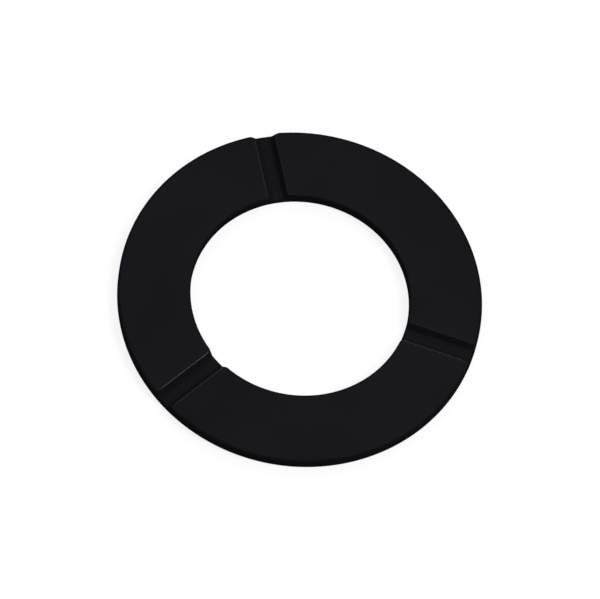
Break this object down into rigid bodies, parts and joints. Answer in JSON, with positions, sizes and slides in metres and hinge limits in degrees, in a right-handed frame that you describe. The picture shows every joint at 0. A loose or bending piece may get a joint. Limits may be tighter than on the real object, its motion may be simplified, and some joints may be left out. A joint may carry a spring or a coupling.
{
  "type": "thrust washer",
  "caption": "Flat ring washer with a clearance bore, rounded edges and radial oil grooves across its running face.",
  "frame": {"origin": "centre of the bore on the plain back, the face that the washer lies on", "axes": "+Z along the bore axis, out of the grooved running face; +X along the first oil groove; +Y completes a right-handed frame"},
  "size_m": [0.084, 0.084, 0.003],
  "materials": {
    "black_nylon": "fine moulded satin, matt black, edges slightly polished by handling"
  },
  "bodies": {
    "root": {"thrust_washer": "black_nylon"}
  },
  "joints": []
}
